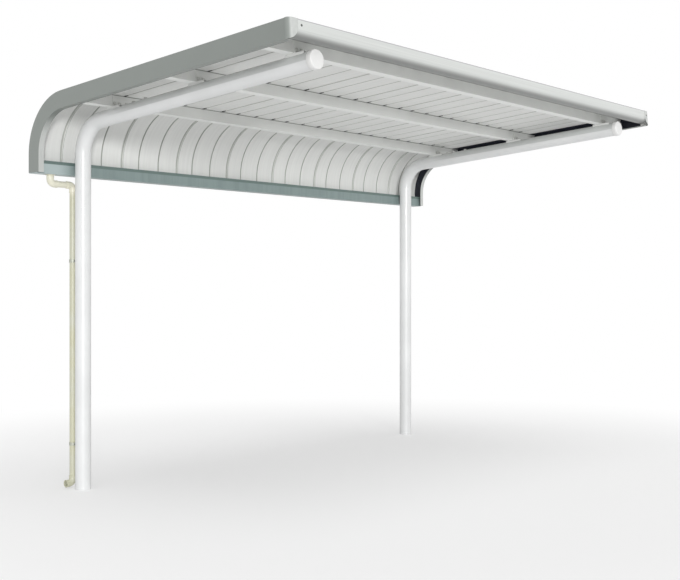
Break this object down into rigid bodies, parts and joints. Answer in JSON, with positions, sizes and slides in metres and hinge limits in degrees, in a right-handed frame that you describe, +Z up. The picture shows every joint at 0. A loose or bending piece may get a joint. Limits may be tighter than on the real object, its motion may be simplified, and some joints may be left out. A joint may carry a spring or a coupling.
{
  "type": "bike shelter",
  "caption": "Cantilever bike shelter: bent pipe posts carry purlins and a ribbed sheet roof that curves down at the back to a gutter, with deep fascias and a drain pipe",
  "frame": {"origin": "centre of the left post's foot face, at ground level", "axes": "+X from the left post to the right post, +Y towards the back, +Z up; the open front faces -Y"},
  "size_m": [3.546, 2.0104, 2.3404],
  "materials": {
    "frame_paint": "smooth satin off-white coating",
    "white_plastic": "moulded white",
    "purlin_paint": "satin light grey",
    "roof_sheet": "low-gloss warm light grey coated sheet",
    "silver_fascia": "satin silver coated aluminium",
    "gutter_grey": "satin blue-green grey",
    "drain_plastic": "smooth cream",
    "clip_steel": "dull bare metal"
  },
  "bodies": {
    "root": {"post_left": "frame_paint", "arm_left": "frame_paint", "arm_cap_left": "white_plastic", "side_fascia_left": "silver_fascia", "corner_cover_left": "silver_fascia", "gutter_end_left": "gutter_grey", "purlin_saddle_front_left": "purlin_paint", "purlin_saddle_middle_left": "purlin_paint", "purlin_saddle_rear_left": "purlin_paint", "post_right": "frame_paint", "arm_right": "frame_paint", "arm_cap_right": "white_plastic", "side_fascia_right": "silver_fascia", "corner_cover_right": "silver_fascia", "gutter_end_right": "gutter_grey", "purlin_saddle_front_right": "purlin_paint", "purlin_saddle_middle_right": "purlin_paint", "purlin_saddle_rear_right": "purlin_paint", "purlin_front": "purlin_paint", "purlin_middle": "purlin_paint", "purlin_rear": "purlin_paint", "roof_sheet_1": "roof_sheet", "roof_sheet_2": "roof_sheet", "roof_sheet_3": "roof_sheet", "roof_sheet_4": "roof_sheet", "roof_sheet_5": "roof_sheet", "roof_sheet_6": "roof_sheet", "roof_sheet_7": "roof_sheet", "roof_sheet_8": "roof_sheet", "roof_sheet_9": "roof_sheet", "front_fascia": "silver_fascia", "gutter": "gutter_grey", "drain_outlet": "drain_plastic", "downpipe": "drain_plastic", "pipe_clip_lower": "clip_steel", "pipe_clip_upper": "clip_steel"}
  },
  "joints": []
}
